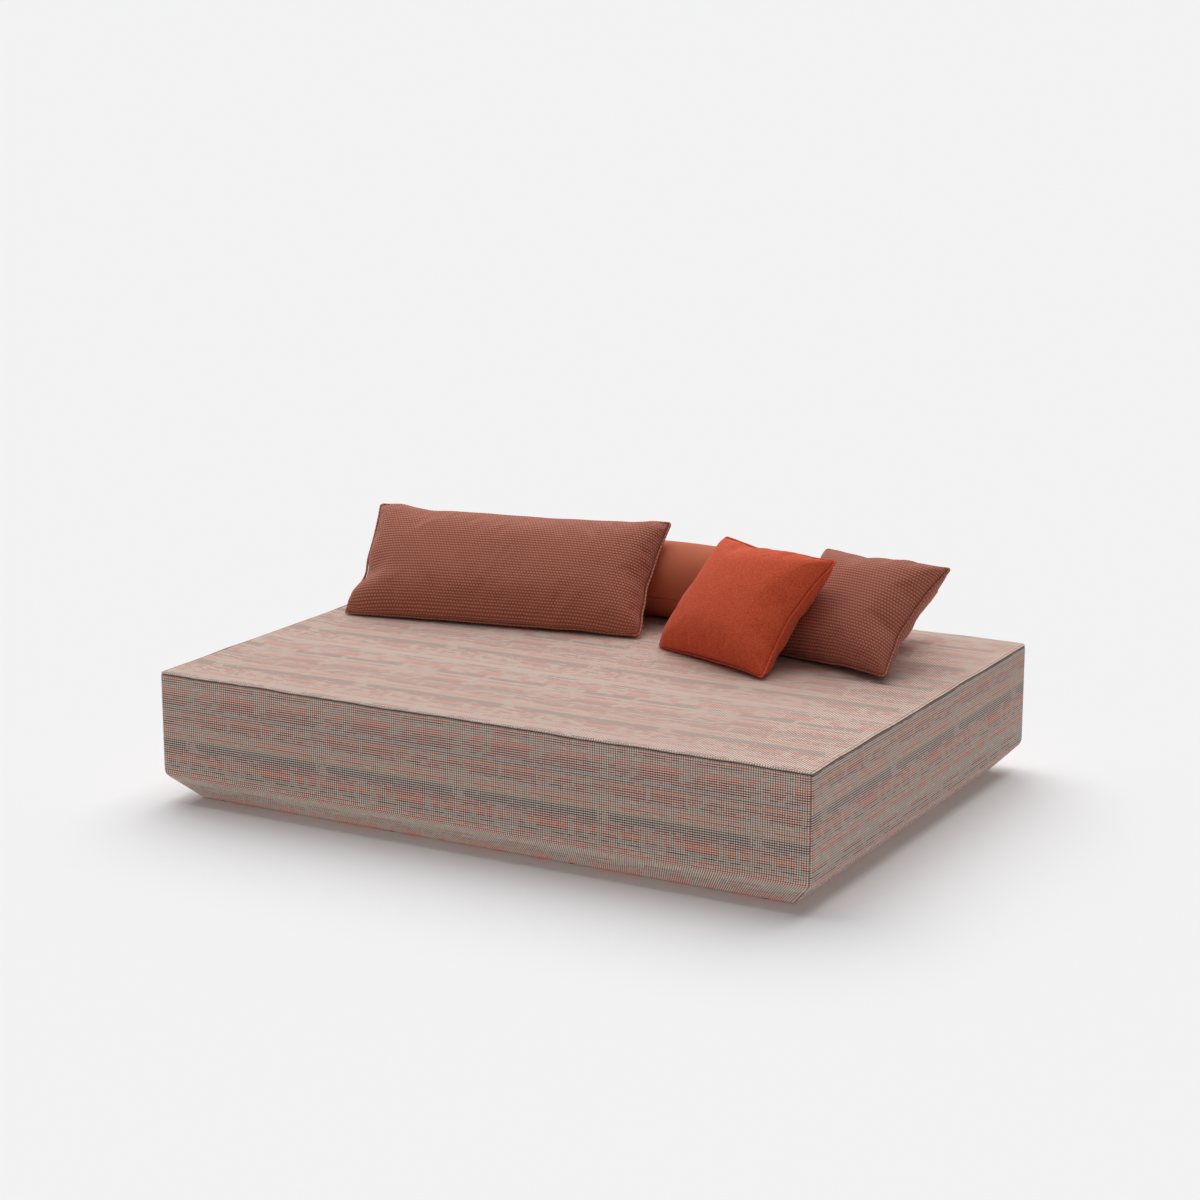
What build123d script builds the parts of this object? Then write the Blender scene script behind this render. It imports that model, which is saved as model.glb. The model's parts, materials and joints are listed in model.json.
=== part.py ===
from build123d import *
import os
from math import cos, hypot, radians, sin, sqrt

os.makedirs("parts", exist_ok=True)

# All lengths are in millimetres. The origin is on the floor under the middle of the
# platform, +X runs along its front edge, +Y to its back and +Z up.

# Outer form of the upholstered platform
platform_length = 2000.0
platform_depth = 1480.0
top_height = 378.0
corner_radius = 14.0
chamfer_inset = 70.0
chamfer_rise = 75.0
chamfer_softness = 18.0
top_edge_softness = 2.4

# Sewn cover of the platform
cover_wall = 3.0
welt_radius = 2.5
welt_proud = 1.0
cover_return = 45.0
dust_cloth_wall = 1.5
dust_cloth_margin = 15.0

# Timber frame
rail_inset = 76.0
rail_thickness = 22.0
rail_height = 140.0
bearer_height = 110.0
bearer_thickness = 22.0
centre_bearer_thickness = 44.0
corner_block_leg = 70.0
corner_block_height = 118.0
corner_block_drop = 10.0

# Deck in two sheets
deck_thickness = 12.0
deck_joint = 2.0
vent_radius = 15.0

# Foam
topper_height = 54.0

# Glides under the frame
glide_height = 8.0
glide_radius = 18.0
glide_stem_radius = 8.0
glide_end_distance = 80.0
glide_hole_clearance = 0.5

# Wood screws
screw_radius = 2.2
screw_head_radius = 4.2
screw_head_height = 2.6
screw_tip = 5.0
screw_point_radius = 0.4
screw_clearance = 0.1
frame_screw_length = 60.0
frame_screw_drop = 40.0
frame_screw_pitch = 50.0
deck_screw_length = 34.0
deck_screw_edge = 12.0
deck_screw_margin = 42.0
glide_screw_length = 22.0
glide_screw_recess = 1.0

# Loose cushions: a soft wall, its filling, and the gap to whatever a cushion rests on
cushion_wall = 2.5
fill_gap = 0.4
rest_gap = 0.4
piping_radius = 4.5
piping_corner_radius = 9.0

# Bolster, which lies along the back, centred on the platform
bolster_length = 1490.0
bolster_thickness = 228.0
bolster_width = 236.0
bolster_end_width = 296.0
bolster_end_thickness = 9.0
bolster_back_distance = 202.0
bolster_settle = 3.0
bolster_roll = 10.0

# Long cushion, leaning on the left part of the bolster. Each cushion's foot is placed from
# the bolster's middle along X and from the platform's back edge along Y.
long_width = 940.0
long_height = 404.0
long_thickness = 170.0
long_foot_x = -466.8
long_back_distance = 582.9
long_foot_lift = 3.0
long_turn = 9.55
long_lean = 45.8
long_tip = 0.35
long_end_pull_share = 0.035
long_side_pull_share = 0.044
long_fullness = 4

# Brown cushion, leaning on the right part of the bolster
brown_width = 474.0
brown_height = 372.0
brown_thickness = 195.0
brown_foot_x = 598.7
brown_back_distance = 542.4
brown_foot_lift = 10.6
brown_turn = -22.3
brown_lean = 46.0
brown_tip = 3.9
brown_end_pull_share = 0.136
brown_side_pull_share = 0.042
brown_fullness = 2

# Orange cushion, leaning on the brown one
orange_width = 480.0
orange_height = 391.0
orange_thickness = 205.0
orange_foot_x = 293.2
orange_back_distance = 651.5
orange_foot_lift = 3.0
orange_turn = -25.5
orange_lean = 42.8
orange_tip = 2.1
orange_end_pull_share = 0.132
orange_side_pull_share = 0.046
orange_fullness = 2

# Levels of a cushion's crown, as shares of its half thickness, and the power of its edge
crown_level_shares = (0.0, 0.3, 0.55, 0.75, 0.9, 0.985)
crown_edge_power = 0.95

# Stations along half the bolster, and its section there, as shares
bolster_station_shares = (0.0, 0.3, 0.55, 0.75, 0.88, 0.95, 1.0)
bolster_thickness_shares = (1.0, 0.99, 0.95, 0.83, 0.64, 0.4, 0.0)
bolster_flare_shares = (0.0, 0.0, 0.07, 0.27, 0.53, 0.77, 1.0)

# How far a cutting tool runs past what it cuts
overrun = 10.0

# Levels and places that follow from the sizes above
frame_base = glide_height
cover_base = frame_base - cover_wall
cloth_base = cover_base - dust_cloth_wall
seam_level = top_height - cover_wall - welt_radius
border_top = seam_level - welt_radius
crease_level = cover_base + chamfer_rise
deck_base = frame_base + rail_height
core_base = deck_base + deck_thickness
topper_top = top_height - cover_wall
core_top = topper_top - topper_height
frame_length = platform_length - 2 * rail_inset
frame_depth = platform_depth - 2 * rail_inset
inner_length = frame_length - 2 * rail_thickness
inner_depth = frame_depth - 2 * rail_thickness
end_rail_x = (frame_length - rail_thickness) / 2
front_rail_y = (frame_depth - rail_thickness) / 2
bearer_x = frame_length / 4
slant_share = chamfer_inset / chamfer_rise
long_foot_y = platform_depth / 2 - long_back_distance
brown_foot_y = platform_depth / 2 - brown_back_distance
orange_foot_y = platform_depth / 2 - orange_back_distance


def chamfered_block(inset, base, top):
    """The platform's outer form with every face moved in by inset, from base up to top."""
    run = inset * hypot(chamfer_inset, chamfer_rise) / chamfer_rise
    foot = chamfer_inset - (base - cover_base) * slant_share + run
    crease = crease_level + (run - inset) / slant_share
    radius = corner_radius - inset
    with BuildPart() as block:
        with BuildSketch(Plane.XY.offset(base)):
            RectangleRounded(platform_length - 2 * foot, platform_depth - 2 * foot, radius)
        with BuildSketch(Plane.XY.offset(crease)):
            RectangleRounded(platform_length - 2 * inset, platform_depth - 2 * inset, radius)
        loft(ruled=True)
        with BuildSketch(Plane.XY.offset(crease)):
            RectangleRounded(platform_length - 2 * inset, platform_depth - 2 * inset, radius)
        extrude(amount=top - crease)
        crease_edges = block.edges().filter_by(lambda edge: abs(edge.center().Z - crease) < welt_radius)
        fillet(crease_edges, chamfer_softness - inset)
    return block.part


def side_outline(side):
    """Plan of one side's share of the platform, cut by the mitres through its corners."""
    far_x = platform_length / 2 + overrun
    far_y = platform_depth / 2 + overrun
    ridge = (platform_length - platform_depth) / 2
    outlines = {
        "front": [(-far_x, -far_y), (far_x, -far_y), (ridge, 0), (-ridge, 0)],
        "back": [(far_x, far_y), (-far_x, far_y), (-ridge, 0), (ridge, 0)],
        "left": [(-far_x, far_y), (-far_x, -far_y), (-ridge, 0)],
        "right": [(far_x, -far_y), (far_x, far_y), (ridge, 0)],
    }
    return outlines[side]


def wood_screw(length, grow):
    """Countersunk screw with its head's face at the origin, pointing along +Z."""
    with BuildPart() as screw:
        with BuildSketch(Plane.XZ):
            with BuildLine():
                Polyline(
                    (0, 0),
                    (screw_head_radius + grow, 0),
                    (screw_radius + grow, screw_head_height),
                    (screw_radius + grow, length - screw_tip),
                    (screw_point_radius + grow, length + grow),
                    (0, length + grow),
                    close=True,
                )
            make_face()
        revolve(axis=Axis.Z)
    return screw.part


side_names = ("front", "back", "left", "right")

# Glides stand under the front and back rails
glide_span = frame_length - 2 * glide_end_distance
glide_xs = [index * glide_span / 3 - glide_span / 2 for index in range(4)]
glide_spots = [(x, side * front_rail_y) for side in (-1, 1) for x in glide_xs]

# Screws that hold the end rails and the bearers to the front and back rails
frame_screw_locations = [
    Location((x, side * frame_depth / 2, deck_base - frame_screw_drop - row * frame_screw_pitch), (side * 90, 0, 0))
    for side in (-1, 1)
    for x in (-end_rail_x, -bearer_x, 0, bearer_x, end_rail_x)
    for row in (0, 1)
]

# Screws that hold the deck down on the rails and bearers
deck_screw_span = frame_depth - 2 * deck_screw_margin
deck_screw_rows = [index * deck_screw_span / 4 - deck_screw_span / 2 for index in range(5)]
deck_screw_locations = [
    Location((x, y, core_base), (180, 0, 0))
    for x in (-end_rail_x, -bearer_x, -deck_screw_edge, deck_screw_edge, bearer_x, end_rail_x)
    for y in deck_screw_rows
]

glide_screw_locations = [Location((x, y, glide_screw_recess), (0, 0, 0)) for x, y in glide_spots]

frame_screw_hole = wood_screw(frame_screw_length, screw_clearance)
deck_screw_hole = wood_screw(deck_screw_length, screw_clearance)
glide_screw_hole = wood_screw(glide_screw_length, screw_clearance)

# Border of the cover: the upright side, the slanted foot and a return under the frame
with BuildPart() as border_shell:
    add(chamfered_block(0, cover_base, border_top))
    add(chamfered_block(cover_wall, frame_base, border_top + overrun), mode=Mode.SUBTRACT)
    with BuildSketch(Plane.XY.offset(cover_base)):
        return_inset = chamfer_inset + cover_return
        Rectangle(platform_length - 2 * return_inset, platform_depth - 2 * return_inset)
        with Locations(*glide_spots):
            Circle(glide_stem_radius + glide_hole_clearance)
    extrude(amount=overrun, both=True, mode=Mode.SUBTRACT)

for side in side_names:
    with BuildPart() as cover_border:
        add(border_shell.part)
        with BuildSketch(Plane.XY):
            with BuildLine():
                Polyline(*side_outline(side), close=True)
            make_face()
        extrude(amount=top_height, mode=Mode.INTERSECT)
    cover_border.part.label = f"cover_{side}_border"
    export_step(cover_border.part, f"parts/cover_{side}_border.step")

# Top panel of the cover
with BuildPart() as cover_top_panel:
    with BuildSketch(Plane.XY.offset(topper_top)):
        RectangleRounded(platform_length, platform_depth, corner_radius)
    extrude(amount=cover_wall)
    fillet(cover_top_panel.faces().sort_by(Axis.Z)[-1].edges(), top_edge_softness)
cover_top_panel.part.label = "cover_top_panel"
export_step(cover_top_panel.part, "parts/cover_top_panel.step")

# Welt in the seam between the top panel and the border
with BuildPart() as cover_welt:
    welt_inset = welt_radius - welt_proud
    welt_x = platform_length / 2 - welt_inset
    welt_y = platform_depth / 2 - welt_inset
    with BuildLine(Plane.XY.offset(seam_level)) as welt_path:
        FilletPolyline(
            (welt_x, -welt_y),
            (welt_x, welt_y),
            (-welt_x, welt_y),
            (-welt_x, -welt_y),
            close=True,
            radius=corner_radius - welt_inset,
        )
    with BuildSketch(Plane(origin=welt_path.line @ 0, z_dir=welt_path.line % 0)):
        Circle(welt_radius)
    sweep(path=welt_path.line)
cover_welt.part.label = "cover_welt"
export_step(cover_welt.part, "parts/cover_welt.step")

# Dust cloth under the frame, held by the glides
with BuildPart() as dust_cloth:
    cloth_inset = chamfer_inset + dust_cloth_margin
    with BuildSketch(Plane.XY.offset(cloth_base)):
        Rectangle(platform_length - 2 * cloth_inset, platform_depth - 2 * cloth_inset)
        with Locations(*glide_spots):
            Circle(glide_stem_radius + glide_hole_clearance, mode=Mode.SUBTRACT)
    extrude(amount=dust_cloth_wall)
dust_cloth.part.label = "dust_cloth"
export_step(dust_cloth.part, "parts/dust_cloth.step")

# Front and back rails, with holes for the screws that enter them
for side in ("front", "back"):
    side_sign = -1 if side == "front" else 1
    with BuildPart() as long_rail:
        with BuildSketch(Plane.XY.offset(frame_base)):
            with Locations((0, side_sign * front_rail_y)):
                Rectangle(frame_length, rail_thickness)
        extrude(amount=rail_height)
        with Locations(*frame_screw_locations):
            add(frame_screw_hole, mode=Mode.SUBTRACT)
        with Locations(*deck_screw_locations):
            add(deck_screw_hole, mode=Mode.SUBTRACT)
        with Locations(*glide_screw_locations):
            add(glide_screw_hole, mode=Mode.SUBTRACT)
    long_rail.part.label = f"{side}_rail"
    export_step(long_rail.part, f"parts/{side}_rail.step")

# End rails between them
for side in ("left", "right"):
    side_sign = -1 if side == "left" else 1
    with BuildPart() as end_rail:
        with BuildSketch(Plane.XY.offset(frame_base)):
            with Locations((side_sign * end_rail_x, 0)):
                Rectangle(rail_thickness, inner_depth)
        extrude(amount=rail_height)
        with Locations(*frame_screw_locations):
            add(frame_screw_hole, mode=Mode.SUBTRACT)
        with Locations(*deck_screw_locations):
            add(deck_screw_hole, mode=Mode.SUBTRACT)
    end_rail.part.label = f"{side}_rail"
    export_step(end_rail.part, f"parts/{side}_rail.step")

# Bearers from front to back, level with the top of the rails
bearers = {
    "left_bearer": (-bearer_x, bearer_thickness),
    "centre_bearer": (0, centre_bearer_thickness),
    "right_bearer": (bearer_x, bearer_thickness),
}
for name, (x, thickness) in bearers.items():
    with BuildPart() as bearer:
        with BuildSketch(Plane.XY.offset(deck_base)):
            with Locations((x, 0)):
                Rectangle(thickness, inner_depth)
        extrude(amount=-bearer_height)
        with Locations(*frame_screw_locations):
            add(frame_screw_hole, mode=Mode.SUBTRACT)
        with Locations(*deck_screw_locations):
            add(deck_screw_hole, mode=Mode.SUBTRACT)
    bearer.part.label = name
    export_step(bearer.part, f"parts/{name}.step")

# Glued blocks in the four corners of the frame
for y_name, y_sign in (("front", -1), ("back", 1)):
    for x_name, x_sign in (("left", -1), ("right", 1)):
        corner_x = x_sign * inner_length / 2
        corner_y = y_sign * inner_depth / 2
        with BuildPart() as corner_block:
            with BuildSketch(Plane.XY.offset(deck_base - corner_block_drop)):
                with BuildLine():
                    Polyline(
                        (corner_x, corner_y),
                        (corner_x - x_sign * corner_block_leg, corner_y),
                        (corner_x, corner_y - y_sign * corner_block_leg),
                        close=True,
                    )
                make_face()
            extrude(amount=-corner_block_height)
            with Locations(*frame_screw_locations):
                add(frame_screw_hole, mode=Mode.SUBTRACT)
        corner_block.part.label = f"{y_name}_{x_name}_corner_block"
        export_step(corner_block.part, f"parts/{y_name}_{x_name}_corner_block.step")

# Deck sheets, with vents that let the foam breathe
sheet_length = (frame_length - deck_joint) / 2
for side, side_sign in (("left", -1), ("right", 1)):
    sheet_x = side_sign * (sheet_length + deck_joint) / 2
    with BuildPart() as deck_sheet:
        with BuildSketch(Plane.XY.offset(deck_base)):
            with Locations((sheet_x, 0)):
                Rectangle(sheet_length, frame_depth)
                with GridLocations(sheet_length / 2, frame_depth / 4, 2, 4):
                    Circle(vent_radius, mode=Mode.SUBTRACT)
        extrude(amount=deck_thickness)
        with Locations(*deck_screw_locations):
            add(deck_screw_hole, mode=Mode.SUBTRACT)
    deck_sheet.part.label = f"{side}_deck_sheet"
    export_step(deck_sheet.part, f"parts/{side}_deck_sheet.step")

# Screws, each kind one group
screw_groups = {
    "frame_screws": (frame_screw_length, frame_screw_locations),
    "deck_screws": (deck_screw_length, deck_screw_locations),
    "glide_screws": (glide_screw_length, glide_screw_locations),
}
for name, (length, locations) in screw_groups.items():
    with BuildPart() as screw_group:
        with Locations(*locations):
            add(wood_screw(length, 0))
    screw_group.part.label = name
    export_step(screw_group.part, f"parts/{name}.step")

# Glides: a foot below the dust cloth and a stem up to the rail
for y_name, y_sign in (("front", -1), ("back", 1)):
    for index, x in enumerate(glide_xs):
        with BuildPart() as glide:
            with BuildSketch(Plane.XY):
                with Locations((x, y_sign * front_rail_y)):
                    Circle(glide_radius)
            extrude(amount=cloth_base)
            with BuildSketch(Plane.XY):
                with Locations((x, y_sign * front_rail_y)):
                    Circle(glide_stem_radius)
            extrude(amount=glide_height)
            with BuildSketch(Plane.XY):
                with Locations((x, y_sign * front_rail_y)):
                    Circle(screw_head_radius + screw_clearance)
            extrude(amount=glide_screw_recess, mode=Mode.SUBTRACT)
            with Locations(*glide_screw_locations):
                add(glide_screw_hole, mode=Mode.SUBTRACT)
        glide.part.label = f"{y_name}_glide_{index + 1}"
        export_step(glide.part, f"parts/{y_name}_glide_{index + 1}.step")

# Firm foam round the frame, which gives the slanted foot its shape
with BuildPart() as side_foam_ring:
    add(chamfered_block(cover_wall, frame_base, core_top))
    with BuildSketch(Plane.XY):
        Rectangle(frame_length, frame_depth)
    extrude(amount=top_height, mode=Mode.SUBTRACT)

for side in side_names:
    with BuildPart() as side_foam:
        add(side_foam_ring.part)
        with BuildSketch(Plane.XY):
            with BuildLine():
                Polyline(*side_outline(side), close=True)
            make_face()
        extrude(amount=top_height, mode=Mode.INTERSECT)
    side_foam.part.label = f"{side}_side_foam"
    export_step(side_foam.part, f"parts/{side}_side_foam.step")

# Core on the deck, and the softer layer over the core and the sides
with BuildPart() as foam_core:
    with BuildSketch(Plane.XY.offset(core_base)):
        Rectangle(frame_length, frame_depth)
    extrude(amount=core_top - core_base)
foam_core.part.label = "foam_core"
export_step(foam_core.part, "parts/foam_core.step")

with BuildPart() as foam_topper:
    with BuildSketch(Plane.XY.offset(core_top)):
        RectangleRounded(
            platform_length - 2 * cover_wall,
            platform_depth - 2 * cover_wall,
            corner_radius - cover_wall,
        )
    extrude(amount=topper_height)
    add(cover_welt.part, mode=Mode.SUBTRACT)
foam_topper.part.label = "foam_topper"
export_step(foam_topper.part, "parts/foam_topper.step")


def leaning_plane(foot_x, foot_y, foot_lift, height, turn, lean, tip):
    """Seam plane of a leaning cushion, with its centre half a height up from its foot."""
    along = Vector(cos(radians(turn)), sin(radians(turn)), 0)
    back = Vector(-sin(radians(turn)), cos(radians(turn)), 0)
    rise = back * sin(radians(lean)) + Vector(0, 0, cos(radians(lean)))
    tipped_along = along * cos(radians(tip)) + rise * sin(radians(tip))
    tipped_rise = rise * cos(radians(tip)) - along * sin(radians(tip))
    foot = Vector(foot_x, foot_y, top_height + foot_lift)
    return Plane(origin=foot + tipped_rise * (height / 2), x_dir=tipped_along, z_dir=along.cross(rise))


def crown_contour(form, level_share, grow):
    """Corner and side middles of a cushion's contour at one level of its crown.

    The crown is the root of (1 - |u|^fullness)(1 - v^2) over the cushion's face, where u and v
    run from -1 to 1 along its width and height, and its sides pull in between the corners.
    """
    depth = level_share**crown_edge_power
    half_width = form["width"] / 2 + grow
    half_height = form["height"] / 2 + grow
    corner_u = (1 - depth) ** (1 / form["fullness"])
    corner_v = sqrt(1 - depth)
    middle_u = (1 - depth**2) ** (1 / form["fullness"])
    middle_v = sqrt(1 - depth**2)
    corner_x = half_width * corner_u * (1 - form["end_pull"] * (1 - corner_v**2))
    corner_y = half_height * corner_v * (1 - form["side_pull"] * (1 - corner_u**2))
    middle_x = half_width * middle_u * (1 - form["end_pull"])
    middle_y = half_height * middle_v * (1 - form["side_pull"])
    return corner_x, corner_y, middle_x, middle_y


def contour_arcs(form, level_share, grow):
    """Four arcs through the corners and side middles, drawn into the line that is being built."""
    corner_x, corner_y, middle_x, middle_y = crown_contour(form, level_share, grow)
    ThreePointArc((-corner_x, -corner_y), (0, -middle_y), (corner_x, -corner_y))
    ThreePointArc((corner_x, -corner_y), (middle_x, 0), (corner_x, corner_y))
    ThreePointArc((corner_x, corner_y), (0, middle_y), (-corner_x, corner_y))
    ThreePointArc((-corner_x, corner_y), (-middle_x, 0), (-corner_x, -corner_y))


def crown_half(form, face_sign, grow):
    """Half of a cushion's full form, on the front (1) or the back (-1) of its seam plane."""
    half_thickness = form["thickness"] / 2 + grow
    with BuildPart() as half:
        for level_share in crown_level_shares:
            with BuildSketch(form["plane"].offset(face_sign * level_share * half_thickness)):
                with BuildLine():
                    contour_arcs(form, level_share, grow)
                make_face()
        loft()
    return half.part


def bolster_half(face_sign, grow):
    """Half of the bolster's full form, above (1) or below (-1) its seam plane."""
    tilt = radians(bolster_roll)
    centre_y = platform_depth / 2 - bolster_back_distance
    centre_z = top_height + rest_gap + bolster_thickness / 2 - bolster_settle
    stations = [-share for share in reversed(bolster_station_shares[1:])] + list(bolster_station_shares)
    thick_shares = list(reversed(bolster_thickness_shares[1:])) + list(bolster_thickness_shares)
    flare_shares = list(reversed(bolster_flare_shares[1:])) + list(bolster_flare_shares)
    with BuildPart() as half:
        for station, thick_share, flare_share in zip(stations, thick_shares, flare_shares):
            x = station * (bolster_length / 2 + grow)
            thick = bolster_end_thickness + (bolster_thickness - bolster_end_thickness) * thick_share
            wide = bolster_width + (bolster_end_width - bolster_width) * flare_share
            half_wide = wide / 2 + grow
            half_thick = thick / 2 + grow
            section = Plane(origin=(x, centre_y, centre_z), x_dir=(0, cos(tilt), sin(tilt)), z_dir=(1, 0, 0))
            with BuildSketch(section):
                with BuildLine():
                    Line((-half_wide, 0), (half_wide, 0))
                    ThreePointArc((half_wide, 0), (0, face_sign * half_thick), (-half_wide, 0))
                make_face()
        loft()
    return half.part


def bolster_tools(inset):
    """Room that the bolster takes out of a cushion whose skin lies inset from its surface."""
    return [bolster_half(1, rest_gap + inset), bolster_half(-1, rest_gap + inset)]


def brown_tools(inset):
    """Room that the brown cushion's face takes out of a cushion that leans on it."""
    return [crown_half(brown_form, 1, rest_gap + inset)]


def no_tools(inset):
    """A cushion that leans on no other one."""
    return []


def rested_half(half, inset, tools):
    """A half form pressed flat on the platform and against what it leans on."""
    with BuildPart() as rested:
        add(half)
        with BuildSketch(Plane.XY.offset(top_height + rest_gap + inset)):
            Rectangle(platform_length, platform_depth)
        extrude(amount=-top_height, mode=Mode.SUBTRACT)
        for tool in tools(inset):
            add(tool, mode=Mode.SUBTRACT)
    return rested.part


def sewn_cushion(name, half_form, tools, face_names, seam_pipings, fill_margin):
    """Two sewn panels, cut clear of any piping, and the filled inner cushion that they hold."""
    for face_name, face_sign in zip(face_names, (1, -1)):
        with BuildPart() as cover_panel:
            add(rested_half(half_form(face_sign, 0), 0, tools))
            add(rested_half(half_form(face_sign, -cushion_wall), cushion_wall, tools), mode=Mode.SUBTRACT)
            for seam_piping in seam_pipings:
                add(seam_piping, mode=Mode.SUBTRACT)
        # The tips that stick out past the piping's rounded corners are trimmed off
        trimmed_panel = cover_panel.part.solids().sort_by(SortBy.VOLUME)[-1]
        trimmed_panel.label = f"{name}_{face_name}_panel"
        export_step(trimmed_panel, f"parts/{name}_{face_name}_panel.step")
    with BuildPart() as filling:
        fill_inset = cushion_wall + fill_gap
        for face_sign in (1, -1):
            add(rested_half(half_form(face_sign, -fill_inset - fill_margin), fill_inset, tools))
    filling.part.label = f"{name}_filling"
    export_step(filling.part, f"parts/{name}_filling.step")


def piping_ring(form):
    """Full ring of piping round a cushion's seam, with its corners rounded."""
    with BuildSketch(form["plane"]) as seam_face:
        with BuildLine():
            contour_arcs(form, 0, 0)
        make_face()
        fillet(seam_face.vertices(), piping_corner_radius)
    seam_wire = seam_face.sketch.faces()[0].outer_wire()
    with BuildPart() as piping:
        with BuildSketch(Plane(origin=seam_wire @ 0, x_dir=form["plane"].z_dir, z_dir=seam_wire % 0)):
            Circle(piping_radius)
        sweep(path=seam_wire)
    return piping.part


def cushion_form(width, height, thickness, fullness, end_pull, side_pull, plane):
    """The sizes of one leaning cushion under short names."""
    return {
        "width": width,
        "height": height,
        "thickness": thickness,
        "fullness": fullness,
        "end_pull": end_pull,
        "side_pull": side_pull,
        "plane": plane,
    }


long_form = cushion_form(
    long_width,
    long_height,
    long_thickness,
    long_fullness,
    long_end_pull_share,
    long_side_pull_share,
    leaning_plane(long_foot_x, long_foot_y, long_foot_lift, long_height, long_turn, long_lean, long_tip),
)
brown_form = cushion_form(
    brown_width,
    brown_height,
    brown_thickness,
    brown_fullness,
    brown_end_pull_share,
    brown_side_pull_share,
    leaning_plane(brown_foot_x, brown_foot_y, brown_foot_lift, brown_height, brown_turn, brown_lean, brown_tip),
)
orange_form = cushion_form(
    orange_width,
    orange_height,
    orange_thickness,
    orange_fullness,
    orange_end_pull_share,
    orange_side_pull_share,
    leaning_plane(orange_foot_x, orange_foot_y, orange_foot_lift, orange_height, orange_turn, orange_lean, orange_tip),
)

leaning_cushions = {
    "long_cushion": (long_form, bolster_tools),
    "brown_cushion": (brown_form, bolster_tools),
    "orange_cushion": (orange_form, brown_tools),
}
for name, (form, tools) in leaning_cushions.items():
    seam_piping = piping_ring(form)
    half_form = lambda sign, grow, form=form: crown_half(form, sign, grow)
    sewn_cushion(name, half_form, tools, ("front", "back"), [seam_piping], piping_radius)
    with BuildPart() as piping:
        add(rested_half(seam_piping, 0, tools))
    piping.part.label = f"{name}_piping"
    export_step(piping.part, f"parts/{name}_piping.step")

sewn_cushion("bolster", bolster_half, no_tools, ("upper", "lower"), [], 0)
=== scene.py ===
import json
import math

import bpy
import numpy as np
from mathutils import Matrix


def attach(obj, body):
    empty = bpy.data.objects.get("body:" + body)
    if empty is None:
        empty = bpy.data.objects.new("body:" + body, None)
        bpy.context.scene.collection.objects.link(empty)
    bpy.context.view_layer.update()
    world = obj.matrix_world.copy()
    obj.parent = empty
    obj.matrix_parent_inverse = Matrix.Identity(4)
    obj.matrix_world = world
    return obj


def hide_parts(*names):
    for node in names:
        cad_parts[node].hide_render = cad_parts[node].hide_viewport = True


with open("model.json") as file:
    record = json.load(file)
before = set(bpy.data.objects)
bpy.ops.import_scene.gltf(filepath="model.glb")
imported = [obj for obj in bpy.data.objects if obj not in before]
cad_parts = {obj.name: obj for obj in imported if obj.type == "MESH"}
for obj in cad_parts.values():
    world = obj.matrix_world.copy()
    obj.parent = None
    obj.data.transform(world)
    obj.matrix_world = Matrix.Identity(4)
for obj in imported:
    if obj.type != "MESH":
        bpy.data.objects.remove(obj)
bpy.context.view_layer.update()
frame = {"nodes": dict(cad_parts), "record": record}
print("frame loaded")

# Camera, solved from the platform's edges
camera = {"place": (3.69475, -6.66476, 2.3475), "pitch": 13.317, "turn": 29.034, "lens": 82.995, "sensor": 36}
cameraObject = bpy.data.objects.new("camera", bpy.data.cameras.new("camera"))
cameraObject.location = camera["place"]
cameraObject.rotation_euler = (math.radians(90 - camera["pitch"]), 0, math.radians(camera["turn"]))
cameraObject.data.lens = camera["lens"]
cameraObject.data.sensor_width = camera["sensor"]
bpy.context.collection.objects.link(cameraObject)
bpy.context.scene.camera = cameraObject


# Screen colour, 0 to 255, to the linear colour that shaders use, times a share
def linear(colour, share=1):
    value = np.asarray(colour, float) / 255
    curve = np.where(value <= 0.04045, value / 12.92, ((value + 0.055) / 1.055) ** 2.4)
    return (*(curve * share).tolist(), 1)


# A shader value. Sums, products and powers written in Python add their Math nodes
class Wire:
    def __init__(self, graph, socket):
        self.graph = graph
        self.socket = socket

    def math(self, operation, *others):
        return self.graph.node("ShaderNodeMath", {"operation": operation}, dict(enumerate((self, *others))))

    def beside(self, output):  # another output of the same node
        return Wire(self.graph, self.socket.node.outputs[output])

    def __add__(self, other):
        return self.math("ADD", other)

    def __sub__(self, other):
        return self.math("SUBTRACT", other)

    def __rsub__(self, other):
        return self.graph.node("ShaderNodeMath", {"operation": "SUBTRACT"}, {0: other, 1: self})

    def __mul__(self, other):
        return self.math("MULTIPLY", other)

    def __truediv__(self, other):
        return self.math("DIVIDE", other)

    def __pow__(self, other):
        return self.math("POWER", other)

    __radd__ = __add__
    __rmul__ = __mul__


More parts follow.
